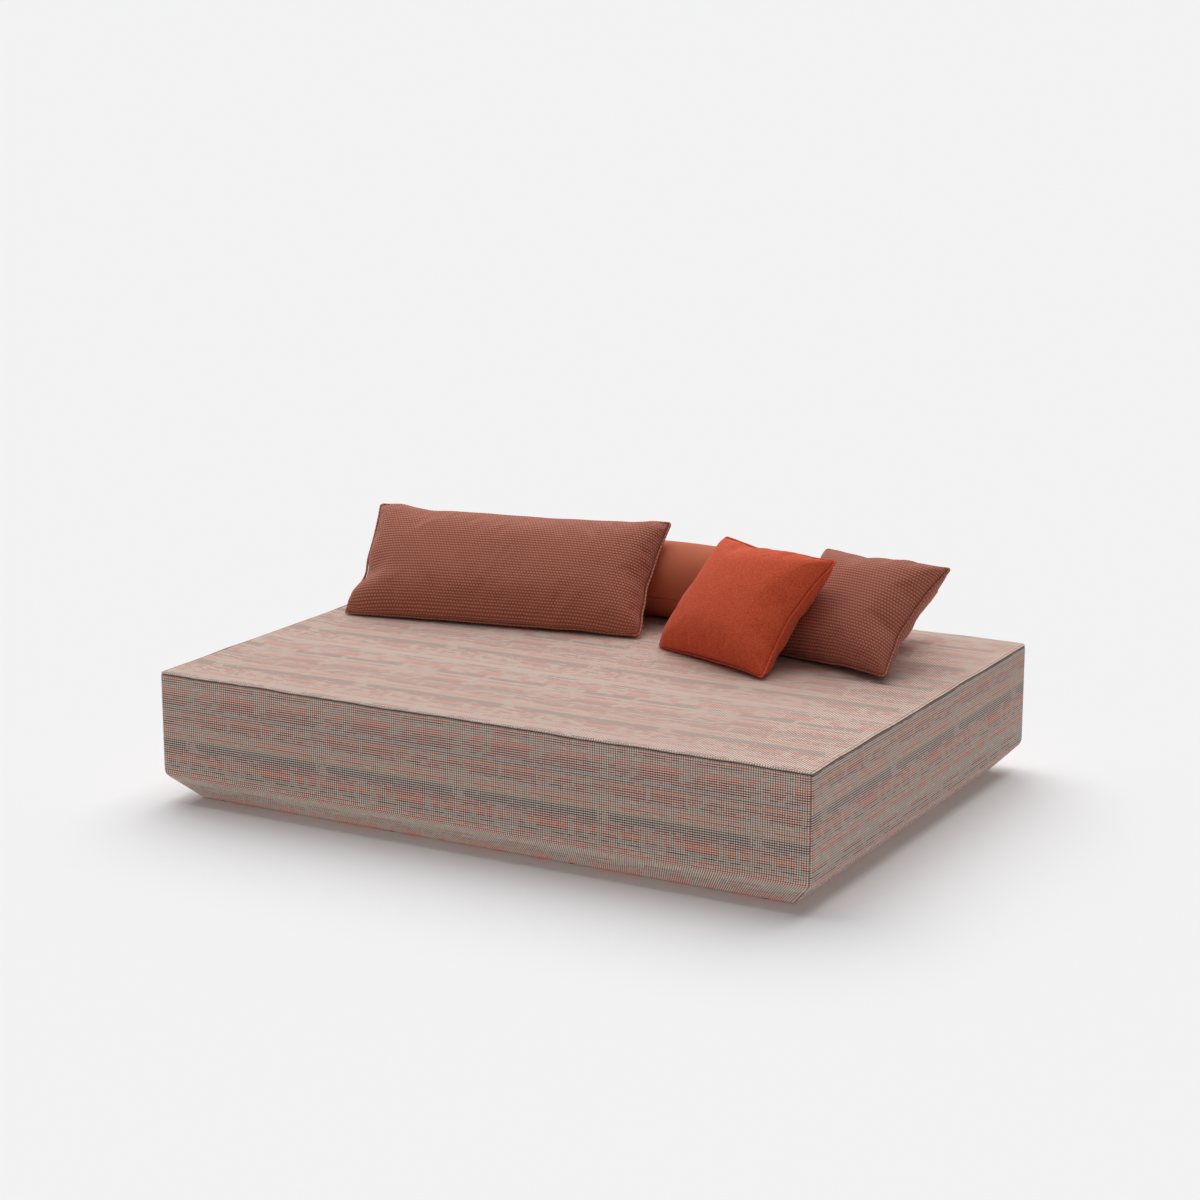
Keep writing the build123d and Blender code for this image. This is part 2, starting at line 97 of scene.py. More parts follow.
# The nodes of one material, or of the world
class Graph:
    def __init__(self, name, world=None):
        self.material = world or bpy.data.materials.new(name)
        self.material.use_nodes = True
        self.nodes = self.material.node_tree.nodes
        self.links = self.material.node_tree.links
        self.shader = self.nodes["Background" if world else "Principled BSDF"]

    def node(self, kind, settings, inputs, output=0):
        made = self.nodes.new(kind)
        for key, value in settings.items():
            setattr(made, key, value)
        for key, value in inputs.items():
            self.feed(made.inputs[key], value)
        return Wire(self, made.outputs[output])

    def feed(self, socket, value):
        if isinstance(value, Wire):
            self.links.new(value.socket, socket)
        else:
            socket.default_value = value

    def surface(self, **inputs):
        for key, value in inputs.items():
            self.feed(self.shader.inputs[key.replace("_", " ")], value)
        return self.material

    def place(self):
        return self.node("ShaderNodeTexCoord", {}, {}, "Object")

    # The piece's own weave coordinates: whole, across and down
    def weavePlace(self):
        whole = self.node("ShaderNodeUVMap", {"uv_map": "weave"}, {})
        across = self.node("ShaderNodeSeparateXYZ", {}, {0: whole})
        return whole, across, across.beside(1)

    # 1 for what the camera sees, also in a reflection or through something clear
    def directRay(self):
        camera = self.node("ShaderNodeLightPath", {}, {}, "Is Camera Ray")
        seen = camera.math("MAXIMUM", camera.beside("Is Glossy Ray"))
        return seen.math("MAXIMUM", camera.beside("Is Transmission Ray"))

    def noise(self, scale, detail=2, roughness=0.5, vector=None):
        inputs = {"Vector": vector or self.place(), "Scale": scale, "Detail": detail, "Roughness": roughness}
        return self.node("ShaderNodeTexNoise", {}, inputs, "Fac")

    def mix(self, share, first, second, blend="MIX"):
        settings = {"data_type": "RGBA", "blend_type": blend}
        return self.node("ShaderNodeMix", settings, {0: share, 6: first, 7: second}, 2)

    # A surface with relief of a height, strength and distance
    def finish(self, shade, rough, height, strength, distance, **others):
        inputs = {"Height": height, "Strength": strength, "Distance": distance}
        normal = self.node("ShaderNodeBump", {}, inputs, "Normal")
        return self.surface(Base_Color=shade, Roughness=rough, Normal=normal, **others)

    # 0 below low, 1 above high, eased between
    def ease(self, value, low, high, kind="SMOOTHSTEP"):
        settings = {"interpolation_type": kind}
        return self.node("ShaderNodeMapRange", settings, {"Value": value, "From Min": low, "From Max": high})


# Quads between neighbouring points of a grid that is stored row by row
def gridFaces(rows, columns, closed=False, flip=False):
    row = np.arange(rows - 1)[:, None] * columns
    column = np.arange(columns if closed else columns - 1)[None, :]
    following = (column + 1) % columns
    corners = [row + column, row + following, row + columns + following, row + columns + column]
    quads = np.stack(corners, -1).reshape(-1, 4)
    return quads[:, ::-1] if flip else quads


# Indices round the rim of a grid
def rimOf(index):
    return np.concatenate([index[0, :-1], index[:-1, -1], index[-1, :0:-1], index[:0:-1, 0]])


# Distance along a line from its first point to each of its points
def distances(line):
    return np.concatenate([[0], np.cumsum(np.linalg.norm(np.diff(line, axis=0), axis=1))])


# Places on a line at some distances from its first point
def placesOn(line, spots):
    return np.stack([np.interp(spots, distances(line), values) for values in line.T], -1)


# Share from 0 to 1 of the way from a start over a reach
def fade(value, start, reach):
    return np.clip((value - start) / reach, 0, 1)


# The same share with a soft beginning and end
def eased(share):
    return share * share * (3 - 2 * share)


def makePiece(name, points, faces, material, uv=None, faceColours=None):
    mesh = bpy.data.meshes.new(name)
    mesh.from_pydata(points.reshape(-1, 3).tolist(), [], [list(map(int, face)) for face in faces])
    corners = np.empty(len(mesh.loops), int)
    mesh.loops.foreach_get("vertex_index", corners)
    if uv is not None:
        layer = mesh.uv_layers.new(name="weave")
        layer.uv.foreach_set("vector", uv.reshape(-1, 2)[corners].astype(np.float32).ravel())
    if faceColours is not None:
        attribute = mesh.attributes.new("weft", "FLOAT_COLOR", "CORNER")
        sizes = np.array([len(face) for face in faces])
        attribute.data.foreach_set("color", np.repeat(faceColours, sizes, axis=0).astype(np.float32).ravel())
    mesh.shade_smooth()
    mesh.materials.append(material)
    piece = bpy.data.objects.new(name, mesh)
    bpy.context.collection.objects.link(piece)
    return piece


# A closed skin over a stack of rings, shut with one flat face at each end
def makeStack(name, rings, material, flip=False):
    rows, columns = rings.shape[:2]
    ends = [np.arange(columns)[::-1], np.arange(columns) + (rows - 1) * columns]
    ends = [end[::-1] if flip else end for end in ends]
    return makePiece(name, rings, [*gridFaces(rows, columns, True, flip), *ends], material)


# Weaving draft of the platform's cover: one repeat is 68 rows of 65 columns. Each band
# lists its rows' yarns and, for each span of columns, the share of cells where they float
yarns = {
    "ecru": (190, 174, 160),
    "flame": (204, 68, 44),
    "brick": (192, 66, 52),
    "salmon": (208, 100, 82),
    "rose": (198, 100, 94),
    "crimson": (172, 38, 56),
    "umber": (116, 66, 56),
    "charcoal": (70, 62, 60),
    "slate": (92, 94, 98),
    "mauve": (164, 112, 116),
    "plum": (100, 48, 62),
    "ochre": (190, 122, 64),
    "orange": (224, 98, 42),
    "tan": (194, 144, 116),
}
blockA = [(0, 3, 0.5), (5, 17, 0.45), (18, 34, 0.97), (35, 40, 0.3), (41, 64, 0.72)]
blockB = [(0, 4, 0.6), (5, 20, 0.93), (23, 37, 0.98), (39, 64, 0.62)]
darkBand = [(0, 4, 0.3), (5, 29, 0.95), (30, 64, 0.98)]
blockC = [(2, 10, 0.4), (11, 14, 0.8), (16, 18, 0.7), (21, 25, 0.8), (27, 36, 0.25)]
blockC += [(38, 51, 0.98), (55, 58, 0.9), (61, 64, 0.9)]
blockD = [(0, 19, 0.9), (24, 30, 0.4), (32, 42, 0.93), (50, 53, 0.7), (62, 64, 0.9)]
scattered = [(0, 64, 0.48)]
sparse = [(0, 64, 0.22)]
draft = [
    ("ecru", sparse),
    ("flame", [(5, 12, 0.9), (13, 16, 0.5), (18, 34, 0.97), (38, 40, 0.8), (43, 63, 0.93)]),
    ("slate", [(9, 11, 0.9), (16, 34, 0.6), (42, 60, 0.85)]),
    ("rose", [(2, 16, 0.5), (18, 40, 0.6), (41, 60, 0.6)]),
    ("ecru", sparse),
    ("rose salmon flame umber crimson umber crimson", blockA),
    ("charcoal", [(6, 17, 0.6), (18, 36, 0.6), (38, 64, 0.95)]),
    ("mauve", scattered),
    ("slate", [(0, 22, 0.6), (23, 64, 0.96)]),
    ("brick ochre crimson umber flame", blockB),
    ("charcoal", [(5, 20, 0.7), (22, 37, 0.8), (40, 60, 0.5)]),
    ("crimson", [(8, 22, 0.6), (30, 38, 0.7), (43, 64, 0.7)]),
    ("ecru", sparse),
    ("rose tan", [(4, 30, 0.7), (32, 60, 0.75)]),
    ("flame", [(1, 3, 0.9), (10, 22, 0.95), (24, 28, 0.7), (35, 39, 0.8), (41, 62, 0.93)]),
    ("ecru", sparse),
    ("ochre", [(3, 27, 0.85), (29, 63, 0.75)]),
    ("slate charcoal plum charcoal", darkBand),
    ("plum", [(0, 4, 0.3), (5, 64, 0.6)]),
    ("crimson", [(0, 19, 0.9), (24, 26, 0.8), (27, 64, 0.96)]),
    ("umber", [(5, 20, 0.5), (32, 64, 0.8)]),
    ("brick orange flame umber", blockC),
    ("mauve", scattered),
    ("charcoal", [(2, 18, 0.6), (30, 38, 0.95), (45, 53, 0.95), (57, 63, 0.85)]),
    ("ecru", sparse),
    ("flame", [(2, 15, 0.85), (18, 20, 0.7), (27, 37, 0.95), (41, 51, 0.95), (53, 64, 0.7)]),
    ("ecru", sparse),
    ("flame rose", [(0, 23, 0.9), (26, 38, 0.8), (41, 60, 0.93)]),
    ("ecru ecru ecru ecru", sparse),
    ("brick plum", [(0, 6, 0.9), (21, 40, 0.8), (55, 64, 0.93)]),
    ("ecru", sparse),
    ("plum", [(4, 17, 0.5), (19, 38, 0.93), (42, 50, 0.93), (55, 64, 0.85)]),
    ("mauve", scattered),
    ("plum", [(0, 18, 0.6), (30, 39, 0.85), (42, 50, 0.8), (60, 64, 0.8)]),
    ("rose", scattered),
    ("brick orange brick flame rose", blockD),
    ("crimson plum", [(13, 20, 0.5), (28, 37, 0.93), (53, 64, 0.93)]),
    ("charcoal plum charcoal", [(4, 12, 0.4), (17, 37, 0.93), (40, 64, 0.93)]),
    ("mauve", scattered),
]
weave = {
    "columns": 65,
    "rowPitch": 0.437 / 68, "sidePitch": 0.437 / 65,
    "topRowPitch": 0.471 / 68, "topPitch": 0.471 / 65,
    "runLength": 3,  # cells that mostly float together
    "strayCover": 0.16,  # how much a yarn shows where it doesn't float
    "shadeSpread": 0.2, "seed": 7,
}


# Colour and cover of the floating yarn in every cell of one repeat
def woven():
    chance = np.random.default_rng(weave["seed"])
    columns, run = weave["columns"], weave["runLength"]
    rows = []
    for names, spans in draft:
        share = np.zeros(columns)
        for first, last, filled in spans:
            share[first : last + 1] = filled
        for name in names.split():
            single = chance.random(columns)
            runs = np.repeat(chance.random(columns // run + 1), run)
            runs = np.roll(runs, chance.integers(run))[:columns]
            floats = np.where(share > 0.88, single, runs * 0.85 + single * 0.15) < share
            cover = np.where(floats, 1.0, 0.0 if name == "ecru" else weave["strayCover"])
            shades = 1 - weave["shadeSpread"] / 2 + weave["shadeSpread"] * chance.random((columns, 1))
            rows.append(np.column_stack([np.array(linear(yarns[name])[:3]) * shades, cover]))
    return np.array(rows)


wovenCells = woven()
print("draft of", len(wovenCells), "rows")


# The weave's coordinates of a grid, and the colour of the cell under each of its faces
def wovenGrid(columnPlace, rowPlace):
    uv = np.stack(np.broadcast_arrays(columnPlace, rowPlace), -1)
    middle = ((uv[:-1, :-1] + uv[1:, 1:]) / 2).reshape(-1, 2)
    column, row = np.floor(middle).astype(int).T
    return uv, wovenCells[row % wovenCells.shape[0], column % wovenCells.shape[1]]


# Places from low to high where weave cells meet, and extra ones where the cloth turns. No
# meeting of cells is kept within a fifth of a cell of those
def cellLines(low, high, pitch, phase, extra=()):
    first = math.ceil((low - phase) / pitch)
    last = math.floor((high - phase) / pitch)
    lines = phase + pitch * np.arange(first, last + 1)
    fixed = np.array(sorted({low, high, *extra}))
    near = np.abs(lines[:, None] - fixed[None, :]).min(1) < pitch * 0.2
    return np.sort(np.concatenate([lines[~near], fixed]))


# Warp ribs between darker gaps, with a coloured yarn floating over them where the draft says
# so. cover is how far it hides them, and through is how bright they stay under it. The ribs'
# light middles and dark gaps are partly the yarns' colours and partly painted shade of the
# round ribs; the pale glint colour mixed into the yarn over each rib is a painted highlight
def wovenMaterial(name, look):
    graph = Graph(name)
    whole, across, down = graph.weavePlace()
    weft = graph.node("ShaderNodeAttribute", {"attribute_name": "weft"}, {}, "Color")
    cover = weft.beside("Alpha")
    # painted shade: each rib runs light in its middle to dark at the gaps
    rib = graph.ease(across.math("FRACT").math("PINGPONG", 0.5), *look["ribEdge"])
    floating = graph.ease(down.math("FRACT").math("PINGPONG", 0.5), *look["yarnEdge"])
    slub = graph.noise(2.2, 3, 0.6, whole)
    through = look["through"]
    share = rib * (through + (1 - through) * (1 - floating))
    ground = graph.mix(share, linear(look["gap"]), linear(look["rib"]))
    # painted highlight: the yarn takes the pale glint colour over each rib
    yarn = graph.mix(through / 3 * rib, weft, look["paintedGlint"])
    cloth = graph.mix(cover * floating * look["cover"], ground, yarn)
    shade = graph.mix(graph.ease(slub, 0.25, 0.75, "LINEAR"), (0.84, 0.83, 0.82, 1), (1, 1, 1, 1))
    height = rib * (1 - floating) * 0.6 + floating * cover * 0.8 + 0.3 * slub
    graph.surface(Sheen_Weight=0.05, Sheen_Roughness=0.5, Specular_IOR_Level=0.2)
    return graph.finish(graph.mix(1.0, cloth, shade, "MULTIPLY"), 0.92, height, 0.5, 0.0012)


# The gap colours are partly painted shade between the ribs, and the glint colour is a painted highlight
sideLook = {
    "rib": (244, 227, 213), "gap": (112, 97, 88), "ribEdge": (0.04, 0.3), "yarnEdge": (0.18, 0.32),
    "cover": 1.0, "through": 0.45, "paintedGlint": (0.75, 0.68, 0.6, 1),
}
# Lit copy of the side weave for the top: lighter ribs and gaps, thinner yarn cover and more painted glint, as
# painted light from above
litTopLook = sideLook | {"rib": (253, 236, 222), "gap": (154, 116, 105), "ribEdge": (0.06, 0.34)}
litTopLook |= {"cover": 0.86, "through": 0.7}
stripedWeave = wovenMaterial("stripedWeave", sideLook)
litTopWeave = wovenMaterial("stripedWeaveLitTop", litTopLook)

# Platform cover. Lengths in metres; profile points are inset from the side and height;
# a fade is the place where something starts and its reach
platform = {
    "halfLength": 1.0, "halfDepth": 0.74, "top": 0.378, "wall": 0.0026,
    "corner": 0.014, "footCorner": 0.02, "footFade": (0.12, -0.11),
    "sideProfile": [(0.115, 0.005), (0.0705, 0.005), (0.0, 0.08), (0.0, 0.3692), (0.006, 0.3694)],
    "sideRounds": [0, 0.005, 0.03, 0.0034, 0],
    "bendLevels": (0.0715, 0.076, 0.08, 0.084, 0.0885),  # rows where the foot turns up
    "footRows": (-0.0022, 0, 0.0022),  # from the foot's lower edge
    "brimRows": (0.0095, 0.0072, 0.0063, 0.0055),  # before the profile's upper end
    "softness": 0.0011, "softFades": [(0.09, 0.05), (0.374, -0.03)], "softEnd": 0.1,
    "seamFade": (0.34, 0.03), "seamReach": 0.012,
    "lipOut": (0.0, 0.003, 0.0062, 0.0094, 0.0122, 0.0136, 0.0136, 0.0118, 0.007),
    "lipDrop": (0.0022, 0.0013, 0.0004, 0.0005, 0.0016, 0.0031, 0.0043, 0.005, 0.0051),
    "edgeDrop": 0.0014, "edgeReach": 0.15, "innerFade": (0.02, 0.1),
    "seatSink": 0.0007, "seatFade": (0.3, -0.2),
    "bandPlace": -0.575, "bandRow": 30.5, "columnPlace": -0.926,
    "rowBow": 0.021, "bowFade": (-0.5, -0.4),
}
borders = {
    "front": {"turn": 0, "rowAtTop": -0.7, "columnPlace": -0.914},
    "right": {"turn": 1, "rowAtTop": 11.3, "columnPlace": -0.682},
    "back": {"turn": 2, "rowAtTop": -0.62, "columnPlace": -0.80},
    "left": {"turn": 3, "rowAtTop": 11.42, "columnPlace": -0.55},
}


# Polyline with its corners rounded: each corner is a quadratic curve of nine points that
# leaves the straight runs at the radius's tangent length
def roundedLine(points, radii):
    parts = [np.array(points[0])[None, :]]
    for before, here, after, radius in zip(points, points[1:], points[2:], radii[1:]):
        before, here, after = map(np.array, (before, here, after))
        into = (here - before) / np.linalg.norm(here - before)
        out = (after - here) / np.linalg.norm(after - here)
        reach = radius * math.tan(math.acos(float(np.clip(into @ out, -1, 1))) / 2)
        share = np.linspace(0, 1, 9)[:, None]
        start, end = here - into * reach, here + out * reach
        parts.append((1 - share) ** 2 * start + 2 * share * (1 - share) * here + share**2 * end)
    return np.concatenate(parts + [np.array(points[-1])[None, :]])


# Gentle unevenness of stuffed cloth, as a sum of three slow waves
def unevenness(a, b, size):
    waves = np.sin(7.1 * a + 2.3 * b + 0.4) + 0.7 * np.sin(13.7 * a - 5.1 * b + 1.9)
    return size * (waves + 0.5 * np.sin(3.3 * a + 17.0 * b)) / 2.2


# Slow rise and fall of the seam, in metres, as three waves
def seamWave(x, y):
    waves = 0.0009 * np.sin(9.3 * (x - y) + 0.7) + 0.0007 * np.sin(21.0 * (x + y))
    return waves + 0.0005 * np.sin(43.0 * (x + 0.7 * y) + 1.3)


# One side of the border: the rounded profile is carried along the side, and turns through
# half of each rounded corner to the mitre
def makeBorder(sideName):
    border = borders[sideName]
    turn = border["turn"]
    half, other = platform["halfLength"], platform["halfDepth"]
    if turn % 2:
        half, other = other, half
    corner, pitch = platform["corner"], weave["rowPitch"]
    straight = half - corner
    line = roundedLine(platform["sideProfile"], platform["sideRounds"])
    along = distances(line)
    total = along[-1]
    upright = line[:, 0] < 0.03
    extra = [along[np.argmin(np.abs(line[:, 1] - level) + ~upright)] for level in platform["bendLevels"]]
    foot = along[np.argmin(np.linalg.norm(line - np.array(platform["sideProfile"][1]), axis=1))]
    extra += [foot + step for step in platform["footRows"]] + [total - step for step in platform["brimRows"]]
    rowLines = cellLines(0, total, pitch, total % pitch, extra)
    columnLines = cellLines(-straight, straight, weave["sidePitch"], border["columnPlace"])
    rounding = straight + corner * math.pi / 4 * np.arange(1, 6) / 5
    columns = np.concatenate([-rounding[::-1], columnLines, rounding])[None, :]
    inset, height = placesOn(line, rowLines).T[:, :, None]
    angle = np.maximum(np.abs(columns) - straight, 0) / corner
    bend = corner + (platform["footCorner"] - corner) * eased(fade(height, *platform["footFade"]))
    reach = (half - inset - bend) * np.clip(columns / straight, -1, 1)
    soft = fade(np.abs(columns), straight, -platform["softEnd"])
    for start, length in platform["softFades"]:
        soft = soft * fade(height, start, length)
    x = reach + np.sign(columns) * bend * np.sin(angle)
    y = -(other - inset) + bend * (1 - np.cos(angle))
    y = y - unevenness(columns + turn, height * 2, platform["softness"]) * soft
    cosine, sine = [(1, 0), (0, 1), (-1, 0), (0, -1)][turn]
    placeX, placeY = x * cosine - y * sine, x * sine + y * cosine
    z = height + fade(height, *platform["seamFade"]) * seamWave(placeX, placeY)
    points = np.stack([placeX, placeY, z], -1)
    across = (columns - border["columnPlace"]) / weave["sidePitch"]
    uv, colours = wovenGrid(across, border["rowAtTop"] + (total - rowLines[:, None]) / pitch)
    piece = makePiece(f"{sideName}Border", points, gridFaces(*uv.shape[:2]), stripedWeave, uv, colours)
    mesh = piece.data
    edgeOfCorner = np.empty(len(mesh.loops), int)
    mesh.loops.foreach_get("edge_index", edgeOfCorner)
    outerEdges = np.bincount(edgeOfCorner, minlength=len(mesh.edges)) == 1
    mesh.edges.foreach_set("use_edge_sharp", outerEdges)  # no smooth shading round the cut edge
    thick = piece.modifiers.new("thickness", "SOLIDIFY")
    thick.thickness = platform["wall"]
    thick.offset = -1
    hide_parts(f"cover_{sideName}_border")
    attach(piece, "platform")


for sideName in borders:
    makeBorder(sideName)
print("borders made")


# Top panel: it sinks softly towards its edges and rolls over a lip into the seam. Beyond the
# core rectangle a square is mapped to a disc, which rounds the corners
def makeTopPanel():
    lip = np.array([platform["lipOut"], platform["lipDrop"]]).T
    skirt = distances(lip)[1:]
    over = skirt[-1]
    coreX, coreY = platform["halfLength"] - platform["corner"], platform["halfDepth"] - platform["corner"]
    rowPitch, bandPlace, columnPlace = weave["topRowPitch"], platform["bandPlace"], platform["columnPlace"]
    xLines = cellLines(-coreX, coreX, weave["topPitch"], columnPlace)
    yLines = cellLines(-coreY, coreY, rowPitch, bandPlace + rowPitch / 2)
    xs = np.concatenate([-coreX - skirt[::-1], xLines, coreX + skirt])[None, :]
    ys = np.concatenate([-coreY - skirt[::-1], yLines, coreY + skirt])[:, None]
    a = np.maximum(np.abs(xs) - coreX, 0) / over
    b = np.maximum(np.abs(ys) - coreY, 0) / over
    discA, discB = a * np.sqrt(1 - b**2 / 2), b * np.sqrt(1 - a**2 / 2)
    radius = np.hypot(discA, discB)
    outward, drop = np.moveaxis(placesOn(lip, radius * over), -1, 0)
    unit = np.maximum(radius, 1e-9)
    x = np.clip(xs, -coreX, coreX) + np.sign(xs) * outward * discA / unit
    y = np.clip(ys, -coreY, coreY) + np.sign(ys) * outward * discB / unit
    edge = np.minimum(platform["halfLength"] - np.abs(x), platform["halfDepth"] - np.abs(y))
    inner = fade(edge, *platform["innerFade"])
    sink = np.clip(1 - edge / platform["edgeReach"], 0, 1) ** 2 * platform["edgeDrop"]
    seat = platform["seatSink"] * fade(y, *platform["seatFade"]) * inner * (1 + unevenness(x, y, 1.0))
    lift = np.clip(1 - edge / platform["seamReach"], 0, 1) * seamWave(x, y)
    bow = platform["rowBow"] * fade(x, *platform["bowFade"]) ** 1.5 * inner
    points = np.stack(np.broadcast_arrays(x, y - bow, platform["top"] - sink - drop - seat + lift), -1)
    across = (xs - columnPlace) / weave["topPitch"]
    uv, colours = wovenGrid(across, platform["bandRow"] + (bandPlace - ys) / rowPitch)
    rows, columns = points.shape[:2]
    rim = rimOf(np.arange(rows * columns).reshape(rows, columns))
    faces = [*gridFaces(rows, columns), rim[::-1]]
    # the top panel takes the lit copy of the weave, painted light from above
    piece = makePiece("topPanel", points, faces, litTopWeave, uv, np.concatenate([colours, colours[:1]]))
    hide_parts("cover_top_panel")
    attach(piece, "platform")


makeTopPanel()
print("top panel made")


# Plan of a rounded rectangle, as a closed ring of points
def roundedRing(halfX, halfY, radius, cornerSteps, sideSteps):
    quarter = np.linspace(0, math.pi / 2, cornerSteps)
    ring = []
    for signX, signY, turn in [(1, 1, 0), (-1, 1, 1), (-1, -1, 2), (1, -1, 3)]:
        angle = quarter + turn * math.pi / 2
        x = signX * (halfX - radius) + radius * np.cos(angle)
        ring.append(np.stack([x, signY * (halfY - radius) + radius * np.sin(angle)], 1))
    plan = np.concatenate(ring + [ring[0][:1]])
    along = distances(plan)
    even = np.linspace(0, along[-1], sideSteps, endpoint=False)
    spots = np.unique(np.round(np.concatenate([along[:-1], even]), 5))
    return placesOn(plan, spots)


# Outward and upward directions along a closed ring of points
def ringDirections(path, step):
    ahead = np.roll(path, -step, 0) - np.roll(path, step, 0)
    ahead /= np.linalg.norm(ahead, axis=1)[:, None]
    outward = np.stack([ahead[:, 1], -ahead[:, 0], np.zeros(len(ahead))], 1)
    return outward, np.tile([0.0, 0.0, 1.0], (len(ahead), 1))


# Tube round a closed ring of points: an ellipse is carried along it in the frame of its
# outward and upward directions
def tubeRing(path, directions, width, thickness, sections):
    angle = np.linspace(0, 2 * math.pi, sections, endpoint=False)[None, :, None]
    outward, upward = (direction[:, None, :] for direction in directions)
    points = path[:, None, :] + outward * np.cos(angle) * width / 2 + upward * np.sin(angle) * thickness / 2
    return points, gridFaces(len(path) + 1, sections, closed=True) % (len(path) * sections)


# Plain cloth or yarn with a fine grain in Object coordinates
def clothMaterial(name, colour, scale, rough, sheen=0.0, grain=0.3):
    graph = Graph(name)
    fine, broad = graph.noise(scale, 3, 0.6), graph.noise(9, 2, 0.5)
    light = tuple(min(1, channel) for channel in linear(colour, 1 + grain))
    dark = linear(colour, 1 - grain)
    shade = graph.mix(graph.ease(fine, 0.3, 0.7), dark, light)
    shade = graph.mix(0.35 * broad, shade, dark)
    return graph.finish(shade, rough, fine, 0.5, 0.0004, Sheen_Weight=sheen, Specular_IOR_Level=0.2)


# Welt in the seam, carried round the platform on the seam's own wave. Its dark brown is painted shade of the
# seam's groove
welt = {
    "halfLength": 0.9974, "halfDepth": 0.7374, "radius": 0.0114, "level": 0.3704,
    "thickness": 0.0018, "colour": (112, 87, 77),
}
weltPlan = roundedRing(welt["halfLength"], welt["halfDepth"], welt["radius"], 9, 400)
weltPath = np.concatenate([weltPlan, welt["level"] + seamWave(weltPlan[:, :1], weltPlan[:, 1:])], 1)
weltTube = tubeRing(weltPath, ringDirections(weltPath, 1), welt["thickness"], welt["thickness"], 8)
weltPiece = makePiece("seamWelt", *weltTube, clothMaterial("weltPaintedShade", welt["colour"], 700, 0.9))
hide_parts("cover_welt")
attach(weltPiece, "platform")
print("welt made")

# Bolster: a round roll that flattens to its sewn ends, in metres and degrees
bolster = {
    "length": 1.49, "thickness": 0.228, "width": 0.236, "endWidth": 0.292, "endThickness": 0.006,
    "y": 0.538, "z": 0.4894,
    "floor": 0.3784,  # just over the platform's top
    "endTurn": 10, "middleTurn": 16.5,
    "seamDepth": 0.004, "seamWidth": 0.0016,
    "seamEnd": 0.985,  # as a share of half the length, as puckerStart is
    "puckerStart": 0.86,
    "pucker": 0.0035, "slack": 0.0016, "fillInset": 0.004,
    "colour": (197, 107, 77),
}


# Half width, half thickness and turn of the bolster's section: powers of the share of its
# half length lead from the middle's values to those of the end
def bolsterSection(share):
    share = np.abs(share)
    width, thickness, turn = bolster["width"], bolster["endThickness"], bolster["middleTurn"]
    wide = width + (bolster["endWidth"] - width) * share**4.7
    thick = thickness + (bolster["thickness"] - thickness) * np.clip(1 - share**4.2, 0, 1) ** 0.52
    return wide / 2, thick / 2, np.radians(turn + (bolster["endTurn"] - turn) * share**2)


# Y and Z of places in the bolster's section, turned about its middle
def bolsterPlaces(wide, thick, turn):
    y = bolster["y"] + wide * np.cos(turn) - thick * np.sin(turn)
    return y, bolster["z"] + wide * np.sin(turn) + thick * np.cos(turn)


# Ellipses carried along X, with puckers that fade away from the sewn ends and a thin
# groove at the seam; pressed flat on the platform
def bolsterPoints(inset):
    stations = np.sin(np.linspace(-math.pi / 2, math.pi / 2, 140))[:, None]
    nearSeam = np.array([-0.045, -0.02, -0.008, 0, 0.008, 0.02, 0.045])
    between = np.linspace(0.1, math.pi - 0.1, 44)
    angle = np.concatenate([nearSeam, between, math.pi + nearSeam, math.pi + between])[None, :]
    flat = np.abs(np.sin(angle))
    halfWide, halfThick, turn = bolsterSection(stations)
    halfWidth, outer = bolster["width"] / 2, np.abs(stations)
    groove = np.exp(-((flat * halfWidth / bolster["seamWidth"]) ** 2)) * (outer < bolster["seamEnd"])
    endBell = np.sin(math.pi * fade(outer, bolster["puckerStart"], 1 - bolster["puckerStart"]))
    pucker = bolster["pucker"] * np.sin(11 * angle + 3 * np.sign(stations)) * endBell * flat
    slack = bolster["slack"] * np.sin(15.5 * stations + 2 * angle) * flat
    wide = (halfWide - inset) * np.cos(angle) * (1 - bolster["seamDepth"] / halfWidth * groove)
    thick = (np.maximum(halfThick - inset, 0.0006) + pucker + slack) * np.sin(angle)
    x = np.broadcast_to(stations * (bolster["length"] / 2 - inset), wide.shape)
    y, z = bolsterPlaces(wide, thick, turn)
    return np.stack([x, y, np.maximum(z, bolster["floor"] + inset)], -1)


plainTerracotta = clothMaterial("plainTerracotta", bolster["colour"], 900, 0.85, sheen=0.02, grain=0.1)
calico = clothMaterial("calico", (236, 230, 218), 800, 0.9)
bolsterPiece = makeStack("bolsterCover", bolsterPoints(0), plainTerracotta, flip=True)
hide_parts("bolster_upper_panel", "bolster_lower_panel")
bolsterFill = makeStack("bolsterFilling", bolsterPoints(bolster["fillInset"]), calico, flip=True)
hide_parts("bolster_filling")
for piece in (bolsterPiece, bolsterFill):
    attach(piece, "bolster")
print("bolster made")


